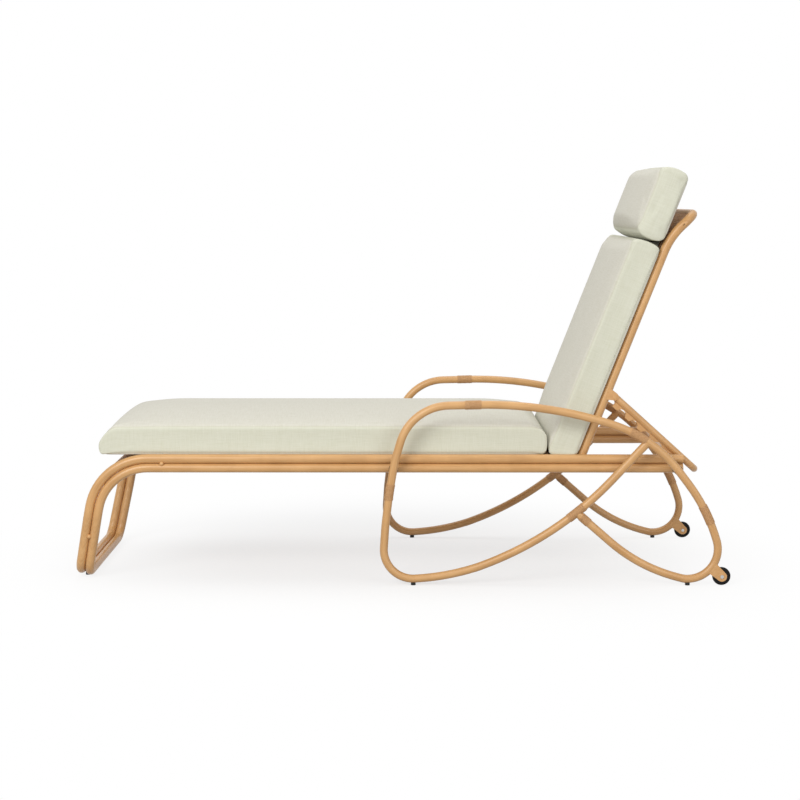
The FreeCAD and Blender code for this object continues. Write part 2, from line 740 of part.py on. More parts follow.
back_turn = math.radians(size("back_bend_turn"))
top_s = size("back_bend_s") + size("back_top_len") * math.cos(back_turn)
top_q = -size("back_top_len") * math.sin(back_turn)
back_line = [back_point(-size("back_tail"), 0), back_point(size("back_bend_s"), 0), back_point(top_s, top_q)]
half_back = vec(0, back_half, 0)
near_back = [point - half_back for point in back_line]
back_bends = [size("back_bend_r"), size("back_corner_r"), size("back_corner_r"), size("back_bend_r")]
back_route = route(near_back + [flipped(point) for point in reversed(near_back)], back_bends)
back_core = shape_feature("back_core", bent_tube(back_route, size("rail_od")))
back_hollow = shape_feature("back_hollow", bent_tube(back_route, size("rail_od"), rail_bore))

# Prop: seated on the notch bar when the back rest is upright and when it is fully reclined
prop_r = size("prop_od") / 2
notch_bar = flat(rail_rear - size("notch_bar_back"), upper_z)
pivot = back_point(size("prop_s"), -size("prop_offset"))
seat_offset = prop_r + size("notch_rim") + rail_r + size("notch_seat_gap")
span = notch_bar - pivot
last_notch = math.sqrt(span.Length ** 2 - seat_offset ** 2)
prop_tilt = math.atan2(span.z, span.x) + math.asin(seat_offset / span.Length)
hinge_to_bar = (notch_bar - hinge).Length
low_tilt = math.asin((seat_offset + size("prop_offset")) / hinge_to_bar)
first_notch = hinge_to_bar * math.cos(low_tilt) - size("prop_s")
prop_along = flat(math.cos(prop_tilt), math.sin(prop_tilt))
prop_under = flat(math.sin(prop_tilt), -math.cos(prop_tilt))
recline_range = math.degrees(back_tilt - low_tilt)
prop_range = math.degrees(back_tilt - prop_tilt)


def prop_point(along, under):
    return pivot + prop_along * along + prop_under * under


# Notch bar and the tubes under the seat deck, their ends shaped to the rails
def cross_tube(label, across, x, z, half_span, saddles):
    outer = cylinder(label + "_outer", across, "2 * %s" % half_span, x, z, "0")
    inner = cylinder(label + "_inner", "%s - 2 * Sizes.tube_wall" % across, "2 * %s" % half_span, x, z, "0")
    keep(cut(label + "_cut", outer, inner, *saddles), label)


rails = [upper_core, lower_core]
cross_tube("notch_bar", "Sizes.rail_od", notch_bar.x, notch_bar.z, "Sizes.rail_y", rails)
stretcher_z = rail_top - size("deck_drop") - size("deck_t") - size("stretcher_od") / 2
stretcher_first = leg_top.x + size("stretcher_front_back")
stretcher_last = hinge.x - size("stretcher_rear_back")
stretchers = 4
for index in range(stretchers):
    place = stretcher_first + (stretcher_last - stretcher_first) * index / (stretchers - 1)
    label = "seat_stretcher_%d" % (index + 1)
    cross_tube(label, "Sizes.stretcher_od", place, stretcher_z, "Sizes.rail_y", rails)

# Seat deck: a woven panel between the rails, following the front bend
deck_level = rail_top - size("deck_drop") - size("deck_t") / 2
bend_start, bend_middle, bend_end, bend_centre = corner_arc(*rail_line[:3], size("leg_bend_r"))
deck_r = deck_level - bend_centre.z


def ring_point(radius, turn):
    """Point on a ring about the centre of the front bend, turned forward from the top."""
    return bend_centre + flat(-math.sin(turn), math.cos(turn)) * radius


def bend_band(radius_in, radius_out, turn, rear_x):
    """Outline of a panel that runs flat, then round the front bend."""
    half = turn / 2
    return [
        Part.LineSegment(flat(rear_x, bend_centre.z + radius_out), ring_point(radius_out, 0)),
        Part.Arc(ring_point(radius_out, 0), ring_point(radius_out, half), ring_point(radius_out, turn)),
        Part.LineSegment(ring_point(radius_out, turn), ring_point(radius_in, turn)),
        Part.Arc(ring_point(radius_in, turn), ring_point(radius_in, half), ring_point(radius_in, 0)),
        Part.LineSegment(ring_point(radius_in, 0), flat(rear_x, bend_centre.z + radius_in)),
        Part.LineSegment(flat(rear_x, bend_centre.z + radius_in), flat(rear_x, bend_centre.z + radius_out)),
    ]


deck_turn = math.radians(size("deck_front_turn"))
deck_rear = hinge.x - size("deck_rear_back")
deck_outline = bend_band(deck_r - size("deck_t") / 2, deck_r + size("deck_t") / 2, deck_turn, deck_rear)
deck_width = "2 * (Sizes.rail_y - Sizes.rail_od / 2 - Sizes.deck_side_gap)"
keep(plate_body("seat_panel", deck_outline, deck_width, "0"), "seat_deck")
bend_bar_r = deck_r - size("deck_t") / 2 - size("bar_od") / 2
bend_bar = ring_point(bend_bar_r, deck_turn - size("bar_od") / 2 / bend_bar_r)
cross_tube("front_bend_bar", "Sizes.bar_od", bend_bar.x, bend_bar.z, "Sizes.rail_y", rails)

# Rail loops, drilled for the spacer bolts and the hinge bolts
hinge_holes = []
hinge_bolts = []
hinge_washers = []
for side, sign, factor in sides:
    hole = cylinder(side + "_hinge_hole", "Sizes.hinge_bolt_d", "Sizes.rail_od", hinge.x, hinge.z,
                    "%s * (Sizes.rail_y - Sizes.rail_od / 2)" % factor)
    hinge_holes.append(hole)
    inside = "(%s - Sizes.rail_od / 2 - Sizes.washer_gap)" % back_mid
    shank_y = "%s * (Sizes.rail_y + %s) / 2" % (factor, inside)
    shank = cylinder(side + "_hinge_shank", "Sizes.hinge_bolt_d", "Sizes.rail_y - %s" % inside,
                     hinge.x, hinge.z, shank_y)
    head = cylinder(side + "_hinge_head", "Sizes.hinge_head_d", "Sizes.hinge_head_h", hinge.x, hinge.z,
                    "%s * (%s - Sizes.hinge_head_h / 2)" % (factor, inside))
    hinge_bolts.append(fused(side + "_hinge_bolt", [shank, head]))
    washer_t = "Sizes.back_inset - Sizes.rail_od - Sizes.washer_gap"
    washer = cylinder(side + "_washer_disc", "Sizes.washer_od", washer_t, hinge.x, hinge.z,
                      "%s * (Sizes.rail_y - Sizes.rail_od / 2 - (%s) / 2)" % (factor, washer_t))
    hinge_washers.append(cut(side + "_washer", washer, shank))
keep(group("hinge_bolt_pair", hinge_bolts), "hinge_bolts")
keep(group("washer_pair", hinge_washers), "hinge_washers")
keep(cut("upper_drilled", upper_hollow, *hinge_holes), "upper_rail_loop")
keep(cut("lower_drilled", lower_hollow, *bolt_tools), "lower_rail_loop")

# Back frame tube, drilled for the hinge bolts, with plugs in its lower ends
back_holes = []
back_plugs = []
for side, sign, factor in sides:
    hole_y = "%s * %s" % (factor, back_mid)
    back_holes.append(cylinder(side + "_back_hole", "Sizes.hinge_bolt_d + 2 * Sizes.hinge_run",
                               "2 * Sizes.rail_od", hinge.x, hinge.z, hole_y))
    plug = doc.addObject("Part::Cylinder", side + "_back_plug")
    bind(plug, Radius="Sizes.rail_od / 2", Height="Sizes.cap_flange")
    turn = FreeCAD.Rotation(vec(0, 0, 1), back_up)
    foot = back_point(-size("back_tail") - size("cap_flange"), 0) + vec(0, sign * back_half, 0)
    plug.Placement = FreeCAD.Placement(foot, turn)
    back_plugs.append(plug)
keep(cut("back_drilled", back_hollow, *back_holes), "back_frame_tube")
keep(group("back_plugs", back_plugs), "back_end_plugs")

# Cross bars and woven deck of the back rest
bar_q = size("back_deck_front") - size("deck_t") - size("bar_od") / 2
for name, rank in [("lower", "first"), ("middle", "second"), ("upper", "third")]:
    place = back_point(size("back_bar_%s_s" % rank), bar_q)
    cross_tube("back_bar_" + name, "Sizes.bar_od", place.x, place.z, back_mid, [back_core])

deck_course = [back_point(size("back_deck_start_s"), 0), back_line[1], back_line[2]]
front_side = shifted(deck_course, [size("back_bend_r")], size("back_deck_front"))
rear_side = shifted(deck_course, [size("back_bend_r")], size("back_deck_front") - size("deck_t"))
top_way = (back_line[2] - back_line[1]).normalize()
for points, bends in [front_side, rear_side]:
    points[-1] = points[-1] - top_way * rail_r
back_outline = route(*front_side)
back_outline.append(Part.LineSegment(front_side[0][-1], rear_side[0][-1]))
back_outline += route(rear_side[0][::-1], rear_side[1])
back_outline.append(Part.LineSegment(rear_side[0][0], front_side[0][0]))
back_deck_width = "2 * (%s - Sizes.rail_od / 2 - Sizes.deck_side_gap)" % back_mid
back_panel = plate_body("back_panel", back_outline, back_deck_width, "0")
keep(cut("back_panel_cut", back_panel, back_core), "back_deck")

# Prop lugs on the back frame and the pins through them
lugs = []
pins = []
for side, sign, factor in sides:
    centre_y = "%s * %s" % (factor, back_mid)
    pin_y = "(Sizes.prop_od / 2 + Sizes.lug_gap + Sizes.lug_t)"
    pin = cylinder(side + "_prop_pin", "Sizes.prop_pin_d", "2 * %s" % pin_y, pivot.x, pivot.z, centre_y)
    for index, way in enumerate(["-1", "1"]):
        lug_y = "%s + %s * (Sizes.prop_od / 2 + Sizes.lug_gap + Sizes.lug_t / 2)" % (centre_y, way)
        low = back_point(size("prop_s") - size("lug_foot"), 0)
        high = back_point(size("prop_s") + size("lug_foot"), 0)
        lug_outline = tongue(low, high, pivot, size("lug_r"))
        lug = plate_body("%s_lug_%d" % (side, index), lug_outline, "Sizes.lug_t", lug_y)
        lugs.append(cut("%s_lug_cut_%d" % (side, index), lug, back_core, pin))
    heads = []
    for index, way in enumerate(["-1", "1"]):
        name = "%s_pin_head_%d" % (side, index)
        head_y = "%s + %s * (%s + Sizes.pin_head_h / 2)" % (centre_y, way, pin_y)
        heads.append(cylinder(name, "Sizes.pin_head_d", "Sizes.pin_head_h", pivot.x, pivot.z, head_y))
    pins.append(fused(side + "_pin_whole", [pin] + heads))
keep(group("lug_set", lugs), "prop_lugs")
keep(group("pin_pair", pins), "prop_pins")

# Prop: a bent tube with an eye at each end and a notched plate under each arm
handle = [prop_point(0, 0) - half_back, prop_point(size("prop_len"), 0) - half_back]
prop_course = handle + [flipped(point) for point in reversed(handle)]
prop_route = route(prop_course, [size("prop_corner_r"), size("prop_corner_r")])
prop_bore = size("prop_od") - 2 * size("tube_wall")
prop_core = shape_feature("prop_core", bent_tube(prop_route, size("prop_od")))
prop_hollow = shape_feature("prop_hollow", bent_tube(prop_route, size("prop_od"), prop_bore))
notch_r = rail_r + size("notch_clear")
notch_depth = prop_r + size("notch_rim") + notch_r
mouth = math.sqrt(notch_r ** 2 - (notch_depth - size("plate_depth")) ** 2)
notches = int(size("notch_count"))


def plate_outline():
    """Plate under the prop with a row of round notches, the last one flared towards the pivot."""
    depth = size("plate_depth")
    start = size("plate_start")
    pieces = [Part.LineSegment(prop_point(start, 0), prop_point(start, depth))]
    reached = prop_point(start, depth)
    for index in range(notches):
        centre = first_notch + (last_notch - first_notch) * index / (notches - 1)
        entry = prop_point(centre - mouth, depth)
        crest = prop_point(centre, notch_depth - notch_r)
        if index == notches - 1:
            flare = prop_point(centre - mouth - size("notch_flare"), depth)
            slant = notch_r * math.sqrt(0.5)
            entry = prop_point(centre - slant, notch_depth - slant)
            pieces.append(Part.LineSegment(reached, flare))
            reached = flare
        leave = prop_point(centre + mouth, depth)
        pieces.append(Part.LineSegment(reached, entry))
        pieces.append(Part.Arc(entry, crest, leave))
        reached = leave
    end = last_notch + size("plate_end")
    pieces.append(Part.LineSegment(reached, prop_point(end, depth)))
    pieces.append(Part.LineSegment(prop_point(end, depth), prop_point(end, 0)))
    pieces.append(Part.LineSegment(prop_point(end, 0), prop_point(start, 0)))
    return pieces


eyes = []
eye_cores = []
for side, sign, factor in sides:
    centre_y = "%s * %s" % (factor, back_mid)
    barrel = cylinder(side + "_eye_barrel", "2 * Sizes.eye_r", "Sizes.prop_od", pivot.x, pivot.z, centre_y)
    eye_bore = cylinder(side + "_eye_bore", "Sizes.prop_pin_d + 2 * Sizes.prop_run", "2 * Sizes.prop_od",
                        pivot.x, pivot.z, centre_y)
    eyes.append(cut(side + "_eye", barrel, eye_bore))
    eye_cores.append(barrel)
    plate = plate_body(side + "_notch_blank", plate_outline(), "Sizes.plate_t", centre_y)
    keep(cut(side + "_notch_cut", plate, prop_core), side + "_notch_plate")
keep(group("eye_pair", eyes), "prop_eyes")
keep(cut("prop_saddled", prop_hollow, *eye_cores), "prop_tube")

# Cushions: each is what three padded outlines share, so its top is crowned and its sides drawn in


def outline_sketch(name, pieces, placement):
    sketch = doc.addObject("Sketcher::SketchObject", name)
    for piece in pieces:
        sketch.addGeometry(piece, False)
    sketch.Placement = placement
    return sketch


def prism(name, pieces, placement, forward, backward):
    """A closed outline pushed out both ways from its plane."""
    solid = doc.addObject("Part::Extrusion", name)
    solid.Base = outline_sketch(name + "_outline", pieces, placement)
    solid.DirMode = "Normal"
    solid.LengthFwd = forward
    solid.LengthRev = backward
    solid.Solid = True
    return solid


def closed(points):
    """Straight pieces between pairs of points, and arcs where a middle point is given."""
    pieces = []
    for first, middle, last in points:
        pieces.append(Part.Arc(first, middle, last) if middle else Part.LineSegment(first, last))
    return pieces


def cushion(label, placement, length, half_w, side_h, crown, falls, slant=0):
    """Boxed cushion, its length along local x, its crowned face up, its first end slanted or square."""
    first_fall, last_fall = falls
    edge = size("pad_edge")
    bulge = size("pad_end_bulge")
    draw = size("pad_draw")
    corner = size("pad_corner")
    bow = edge * (1 - math.sqrt(0.5))
    top = side_h + crown
    mid = length / 2

    def both_ends(points):
        """Add the same points mirrored about the middle of the length."""
        return [vec(length - point.x, point.y, 0) if point else None for point in points]

    low = vec(bulge, 0, 0)
    waist = vec(0, side_h / 2, 0)
    shoulder = vec(bulge, side_h - edge, 0)
    last_brow = vec(bulge + last_fall / 3, side_h + crown * 0.72, 0)
    last_crest = vec(bulge + last_fall, top, 0)
    last_end = [(low, waist, shoulder), (shoulder, last_brow, last_crest)]
    other = [tuple(both_ends(reversed(points))) for points in reversed(last_end)]
    slanted_low = low + vec(slant, 0, 0)
    slanted_waist = waist + vec(slant / 2, 0, 0)
    brow = vec(bulge + first_fall / 3, side_h + crown * 0.72, 0)
    crest = vec(bulge + first_fall, top, 0)
    end = [(slanted_low, slanted_waist, shoulder), (shoulder, brow, crest)]
    side_outline = closed(end + [(crest, None, both_ends([last_crest])[0])] + other
                          + [(both_ends([low])[0], None, slanted_low)])

    foot = vec(half_w - edge, 0, 0)
    heel = vec(half_w, edge, 0)
    sill = vec(half_w, side_h - edge, 0)
    rim = vec(half_w - edge, side_h, 0)

    def mirrored(point):
        return vec(-point.x, point.y, 0)

    right = [
        (foot, vec(half_w - bow, bow, 0), heel),
        (heel, vec(half_w - draw, side_h / 2, 0), sill),
        (sill, vec(half_w - bow, side_h - bow, 0), rim),
    ]
    left = [tuple(mirrored(point) for point in reversed(points)) for points in reversed(right)]
    crowned = [(rim, vec(0, top, 0), mirrored(rim))]
    base = [(mirrored(foot), None, foot)]
    cross_outline = closed(right + crowned + left + base)

    over = size("pad_plan_over")
    wide = half_w + over
    inset = corner * (1 - math.sqrt(0.5))
    head = vec(length + over, wide - corner, 0)
    temple = vec(length + over - corner, wide, 0)
    far_head = vec(length + over, corner - wide, 0)

    def turned(point):
        return vec(point.x, -point.y, 0)

    upper = [
        (temple, vec(mid, wide - draw, 0), both_ends([temple])[0]),
        (both_ends([temple])[0], vec(inset - over, wide - inset, 0), both_ends([head])[0]),
        (both_ends([head])[0], None, both_ends([far_head])[0]),
    ]
    lower = [
        (both_ends([far_head])[0], vec(inset - over, inset - wide, 0), turned(both_ends([temple])[0])),
        (turned(both_ends([temple])[0]), vec(mid, draw - wide, 0), turned(temple)),
        (turned(temple), vec(length + over - inset, inset - wide, 0), far_head),
        (far_head, None, head),
        (head, vec(length + over - inset, wide - inset, 0), temple),
    ]
    plan_outline = closed(upper + lower)

    upright = FreeCAD.Rotation(vec(1, 0, 0), 90)
    across = FreeCAD.Rotation(vec(1, 1, 1), 120)
    side = prism(label + "_side", side_outline, placement * FreeCAD.Placement(vec(0, 0, 0), upright),
                 half_w + edge, half_w + edge)
    cross = prism(label + "_cross", cross_outline, placement * FreeCAD.Placement(vec(0, 0, 0), across),
                  length + edge, edge)
    plan = prism(label + "_plan", plan_outline, placement, top + edge, edge)
    keep(common(label + "_form", common(label + "_long_form", side, cross), plan), label)


seat_base = deck_level + size("deck_t") / 2 + size("cushion_gap")
seat_front = hinge.x - size("seat_rear_back") - size("seat_len")
seat_place = FreeCAD.Placement(vec(seat_front, 0, seat_base), FreeCAD.Rotation())
seat_falls = (size("seat_end_fall"), size("seat_end_fall"))
cushion("seat_cushion", seat_place, size("seat_len"), pad_half, size("seat_side_h"), size("seat_crown"),
        seat_falls)
reclined = FreeCAD.Rotation(vec(0, -1, 0), 90 - size("back_lean"))
pad_q = rail_r + size("back_pad_lift")
back_pad_foot = size("back_pad_side") * math.tan(math.radians(size("back_lean"))) - size("back_pad_heel")
cushion("back_cushion", FreeCAD.Placement(back_point(size("back_pad_start") - back_pad_foot, pad_q), reclined),
        size("back_pad_len") + back_pad_foot, pad_half, size("back_pad_side"), size("back_pad_crown"),
        (size("back_pad_foot_fall"), size("back_pad_fall")), back_pad_foot)
head_start = size("back_pad_start") + size("back_pad_len") + size("head_pad_gap")
cushion("headrest_cushion", FreeCAD.Placement(back_point(head_start, pad_q), reclined),
        size("head_pad_len"), pad_half, size("back_pad_side"), size("back_pad_crown"),
        (size("head_pad_fall"), size("head_pad_fall")))

# Fabric strip behind the back cushion and the headrest, which joins the two
strip_middle = head_start - size("head_pad_gap") / 2
strip_start = strip_middle - size("strip_reach") - size("pad_end_bulge")
strip_end = strip_middle + size("strip_reach") + size("pad_end_bulge")
strip_corners = [
    back_point(strip_start, pad_q - size("strip_t")),
    back_point(strip_end, pad_q - size("strip_t")),
    back_point(strip_end, pad_q),
    back_point(strip_start, pad_q),
]
strip_next = strip_corners[1:] + strip_corners[:1]
strip_outline = [Part.LineSegment(one, two) for one, two in zip(strip_corners, strip_next)]
strip_width = "2 * (Sizes.rail_y - Sizes.pad_side_back - Sizes.strip_side_back)"
keep(plate_body("strip", strip_outline, strip_width, "0"), "headrest_strip")

# Recompute, check and write each sub-part

doc.recompute()
for obj in doc.Objects:
    bad = [word for word in obj.State if word in ("Invalid", "Error")]
    if bad:
        raise RuntimeError("%s (%s): %s" % (obj.Name, obj.Label, obj.State))
for obj in kept:
    if obj.Shape.isNull() or not obj.Shape.isValid() or not obj.Shape.Solids:
        raise RuntimeError("bad shape: " + obj.Label)
for obj in kept:
    box = obj.Shape.BoundBox
    print("%-22s solids %2d  volume %10.0f  x %7.1f %7.1f  y %7.1f %7.1f  z %7.1f %7.1f" % (
        obj.Label, len(obj.Shape.Solids), obj.Shape.Volume,
        box.XMin, box.XMax, box.YMin, box.YMax, box.ZMin, box.ZMax))
    obj.Shape.exportStep("parts/%s.step" % obj.Label)
print("parts", len(kept))
print("front hoop glide %.3f" % front_foot_arc[3].x)
print("hinge %.4f %.4f  prop pivot %.4f %.4f  wheel %.4f %.4f" % (
    hinge.x, hinge.z, pivot.x, pivot.z, wheel_place.x, wheel_place.z))
print("recline %.4f deg  prop swing %.4f deg  ratio %.6f" % (
    recline_range, prop_range, prop_range / recline_range))
print("notches from pivot: first %.1f  last %.1f" % (first_notch, last_notch))
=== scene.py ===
import math

import bmesh
import bpy
from mathutils import Matrix, Vector


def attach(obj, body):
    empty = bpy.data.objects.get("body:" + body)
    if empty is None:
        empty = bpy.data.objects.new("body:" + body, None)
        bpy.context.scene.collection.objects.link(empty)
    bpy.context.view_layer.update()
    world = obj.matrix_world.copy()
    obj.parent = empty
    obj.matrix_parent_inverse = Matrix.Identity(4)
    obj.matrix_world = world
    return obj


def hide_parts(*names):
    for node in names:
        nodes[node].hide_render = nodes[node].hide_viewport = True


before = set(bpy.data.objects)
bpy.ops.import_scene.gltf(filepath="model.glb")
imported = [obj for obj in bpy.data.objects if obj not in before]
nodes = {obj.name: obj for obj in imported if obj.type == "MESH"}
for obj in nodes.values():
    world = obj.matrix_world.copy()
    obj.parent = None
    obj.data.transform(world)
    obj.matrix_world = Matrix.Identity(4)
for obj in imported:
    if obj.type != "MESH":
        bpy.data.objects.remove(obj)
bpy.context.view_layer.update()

# The studio. A wide white floor that keeps the chaise's soft shadow, in a white room, with a large
# soft lamp high in front at the foot end, a weaker one at the head end and one overhead.


def node(tree, kind, settings=None, **inputs):
    """Add a shader node, set its choices and its inputs, and wire the inputs that are sockets."""
    made = tree.nodes.new(kind)
    for name, value in (settings or {}).items():
        setattr(made, name, value)
    for name, value in inputs.items():
        key = int(name[3:]) if name.startswith("at_") else name.replace("_", " ")
        socket = made.inputs[key]
        if isinstance(value, bpy.types.NodeSocket):
            tree.links.new(value, socket)
        else:
            socket.default_value = value
    return made


def paint(red, green, blue):
    """A colour as seen on a screen, 0 to 255, as the shader wants it."""
    linear = []
    for level in (red, green, blue):
        share = level / 255
        linear.append(share / 12.92 if share <= 0.04045 else ((share + 0.055) / 1.055) ** 2.4)
    return (*linear, 1.0)


def bare_tree(holder):
    """The node tree of a material or a world, emptied."""
    holder.use_nodes = True
    holder.node_tree.nodes.clear()
    return holder.node_tree


def seen_directly(tree):
    """1 for rays from the camera, or through a mirror or glass, and 0 for light on the object."""
    rays = node(tree, "ShaderNodeLightPath")
    glossy = node(tree, "ShaderNodeMath", {"operation": "MAXIMUM"},
                  at_0=rays.outputs["Is Camera Ray"], at_1=rays.outputs["Is Glossy Ray"])
    both = node(tree, "ShaderNodeMath", {"operation": "MAXIMUM"},
                at_0=glossy.outputs[0], at_1=rays.outputs["Is Transmission Ray"])
    return both.outputs[0]


floor_finish = bpy.data.materials.new("studio_floor")
tree = bare_tree(floor_finish)
rays = node(tree, "ShaderNodeLightPath")
ground_colour = node(tree, "ShaderNodeMix", {"data_type": "RGBA"})
tree.links.new(rays.outputs["Is Camera Ray"], ground_colour.inputs[0])
ground_colour.inputs[6].default_value = paint(188, 186, 183)
ground_colour.inputs[7].default_value = paint(252, 252, 252)
matt = node(tree, "ShaderNodeBsdfDiffuse", Color=ground_colour.outputs[2])
glow = node(tree, "ShaderNodeEmission", Color=(1, 1, 1, 1), Strength=1.0)
ground = node(tree, "ShaderNodeTexCoord").outputs["Object"]
away = node(tree, "ShaderNodeVectorMath", {"operation": "LENGTH"}, at_0=ground).outputs["Value"]
whiteness = node(tree, "ShaderNodeMapRange", {"interpolation_type": "SMOOTHSTEP"},
                 Value=away, From_Min=0.40, From_Max=1.3, To_Min=0.68, To_Max=1.0).outputs[0]
share = node(tree, "ShaderNodeMath", {"operation": "MULTIPLY"}, at_0=seen_directly(tree), at_1=whiteness)
mixed = node(tree, "ShaderNodeMixShader", at_0=share.outputs[0], at_1=matt.outputs[0], at_2=glow.outputs[0])
node(tree, "ShaderNodeOutputMaterial", Surface=mixed.outputs[0])

bpy.ops.object.select_all(action="DESELECT")
bpy.ops.mesh.primitive_plane_add(size=60, location=(0, 0, 0))
floor = bpy.context.object
floor.name = "studio_floor"
floor.data.materials.append(floor_finish)

room = bpy.data.worlds.new("studio_room")
bpy.context.scene.world = room
tree = bare_tree(room)
soft = node(tree, "ShaderNodeBackground", Color=(1, 1, 1, 1), Strength=0.42)
white = node(tree, "ShaderNodeBackground", Color=(1, 1, 1, 1), Strength=1.0)
mixed = node(tree, "ShaderNodeMixShader", at_0=seen_directly(tree), at_1=soft.outputs[0],
             at_2=white.outputs[0])
node(tree, "ShaderNodeOutputWorld", Surface=mixed.outputs[0])


def softbox(name, place, aim, size, power):
    """A square lamp that faces its aim."""
    lamp = bpy.data.lights.new(name, "AREA")
    lamp.shape = "SQUARE"
    lamp.size = size
    lamp.energy = power
    holder = bpy.data.objects.new(name, lamp)
    bpy.context.scene.collection.objects.link(holder)
    holder.location = place
    holder.rotation_euler = (Vector(aim) - Vector(place)).to_track_quat("-Z", "Y").to_euler()


softbox("lamp_foot_end", (-2.2, -4.0, 2.8), (0, 0, 0.4), 2.6, 137)
softbox("lamp_head_end", (2.6, -3.8, 2.0), (0.2, 0, 0.4), 2.6, 50)
softbox("lamp_overhead", (0.2, 0.6, 3.8), (0, 0, 0.3), 2.8, 42)

camera = bpy.data.objects.new("camera", bpy.data.cameras.new("camera"))
bpy.context.scene.collection.objects.link(camera)
camera.location = (0.009, -5.0523, 1.0438)
camera.rotation_euler = (math.radians(90 - 6.504), 0, math.radians(0.113))
camera.data.lens = 79.335
camera.data.sensor_width = 36
bpy.context.scene.camera = camera
bpy.context.scene.view_settings.view_transform = "Standard"

# Cane tubes. The frame is aluminium tube under a baked coat that is drawn to look like peeled
# cane: a warm tan ground with fine long streaks along the tube, darker and lighter by turns.


def finish(name):
    """A material with its tree, its shader and the coordinates fixed to the piece."""
    made = bpy.data.materials.new(name)
    tree = bare_tree(made)
    shader = node(tree, "ShaderNodeBsdfPrincipled")
    node(tree, "ShaderNodeOutputMaterial", Surface=shader.outputs[0])
    place = node(tree, "ShaderNodeTexCoord").outputs["Object"]
    return made, tree, shader, place


def grain(tree, place, stretch, detail=3.0):
    """Noise stretched by a number of cells per metre in x, y and z."""
    spread = node(tree, "ShaderNodeMapping", Vector=place, Scale=stretch)
    cells = node(tree, "ShaderNodeTexNoise", Vector=spread.outputs[0], Scale=1.0, Detail=detail,
                 Roughness=0.55)
    return cells.outputs[0]


def ramp(tree, level, stops):
    """Colours that follow a level from 0 to 1."""
    made = node(tree, "ShaderNodeValToRGB", Fac=level)
    points = made.color_ramp.elements
    while len(points) < len(stops):
        points.new(0.5)
    for point, (where, colour) in zip(points, stops):
        point.position = where
        point.color = colour
    return made.outputs[0]


def blended(tree, share, first, second, kind="FLOAT"):
    """A mix of two levels, or of two colours."""
    made = node(tree, "ShaderNodeMix", {"data_type": kind})
    inputs = {"FLOAT": (0, 2, 3), "RGBA": (0, 6, 7)}[kind]
    for index, value in zip(inputs, (share, first, second)):
        if isinstance(value, bpy.types.NodeSocket):
            tree.links.new(value, made.inputs[index])
        else:
            made.inputs[index].default_value = value
    return made.outputs[{"FLOAT": 0, "RGBA": 2}[kind]]


def cane_coat(name, cross_half):
    """Streaks run along the sides, and across the chaise wherever y is within cross_half."""
    made, tree, shader, place = finish(name)
    y = node(tree, "ShaderNodeSeparateXYZ", Vector=place).outputs[1]
    off_centre = node(tree, "ShaderNodeMath", {"operation": "ABSOLUTE"}, at_0=y).outputs[0]
    runs_along = node(tree, "ShaderNodeMapRange", {"interpolation_type": "SMOOTHSTEP"},
                      Value=off_centre, From_Min=cross_half - 0.008, From_Max=cross_half + 0.008).outputs[0]
    along = grain(tree, place, (7, 520, 7))
    across = grain(tree, place, (420, 7, 420))
    streaks = blended(tree, runs_along, across, along)
    clouds = grain(tree, place, (16, 16, 16), 2.0)
    colour = ramp(tree, streaks, [
        (0.26, paint(199, 150, 94)),
        (0.46, paint(211, 163, 107)),
        (0.60, paint(215, 168, 112)),
        (0.78, paint(223, 179, 124)),
    ])
    tone = ramp(tree, clouds, [(0.35, paint(236, 232, 226)), (0.65, paint(255, 255, 255))])
    tinted = node(tree, "ShaderNodeMix", {"data_type": "RGBA", "blend_type": "MULTIPLY"}, at_0=0.6)
    tree.links.new(colour, tinted.inputs[6])
    tree.links.new(tone, tinted.inputs[7])
    tree.links.new(tinted.outputs[2], shader.inputs["Base Color"])
    relief = node(tree, "ShaderNodeBump", Strength=0.15, Distance=0.0003, Height=streaks)
    tree.links.new(relief.outputs[0], shader.inputs["Normal"])
    gloss = node(tree, "ShaderNodeMapRange", Value=streaks, To_Min=0.40, To_Max=0.30).outputs[0]
    tree.links.new(gloss, shader.inputs["Roughness"])
    return made


def dress(names, coat):
    """Put a finish on CAD nodes."""
    for name in names:
        for slot in nodes[name].material_slots:
            slot.material = coat


side_cane = cane_coat("cane_along", -0.02)
loop_cane = cane_coat("cane_round_corners", 0.235)
cross_cane = cane_coat("cane_across", 1.0)
dress(["left_arm_tube", "right_arm_tube", "left_brace_tube", "right_brace_tube"], side_cane)
dress(["upper_rail_loop", "lower_rail_loop", "back_frame_tube", "prop_tube"], loop_cane)
dress(["seat_stretcher_1", "seat_stretcher_2", "seat_stretcher_3", "seat_stretcher_4", "notch_bar",
       "front_bend_bar", "back_bar_lower", "back_bar_middle", "back_bar_upper"], cross_cane)

# Welded parts and plugs. Wheel forks, prop lugs, eyes, notch plates and weld beads are plate and
# rod in the same coat, without its streaks, and the tube ends are closed by plugs to match.
plain_coat, tree, shader, place = finish("cane_colour_plain")
mottle = grain(tree, place, (90, 90, 90), 4.0)
colour = ramp(tree, mottle, [(0.3, paint(203, 154, 99)), (0.7, paint(214, 167, 112))])
tree.links.new(colour, shader.inputs["Base Color"])
pits = grain(tree, place, (700, 700, 700), 2.0)
relief = node(tree, "ShaderNodeBump", Strength=0.2, Distance=0.0003, Height=pits)
tree.links.new(relief.outputs[0], shader.inputs["Normal"])
shader.inputs["Roughness"].default_value = 0.45
dress(["left_wheel_fork", "right_wheel_fork", "prop_lugs", "prop_eyes", "left_notch_plate",
       "right_notch_plate", "prop_pins", "weld_beads", "rail_end_caps", "back_end_plugs"], plain_coat)

# Fittings. Turned bolts and nuts of bright steel, washers of milky nylon between the back rest
# and the rails, and spacers and glides moulded in black plastic.


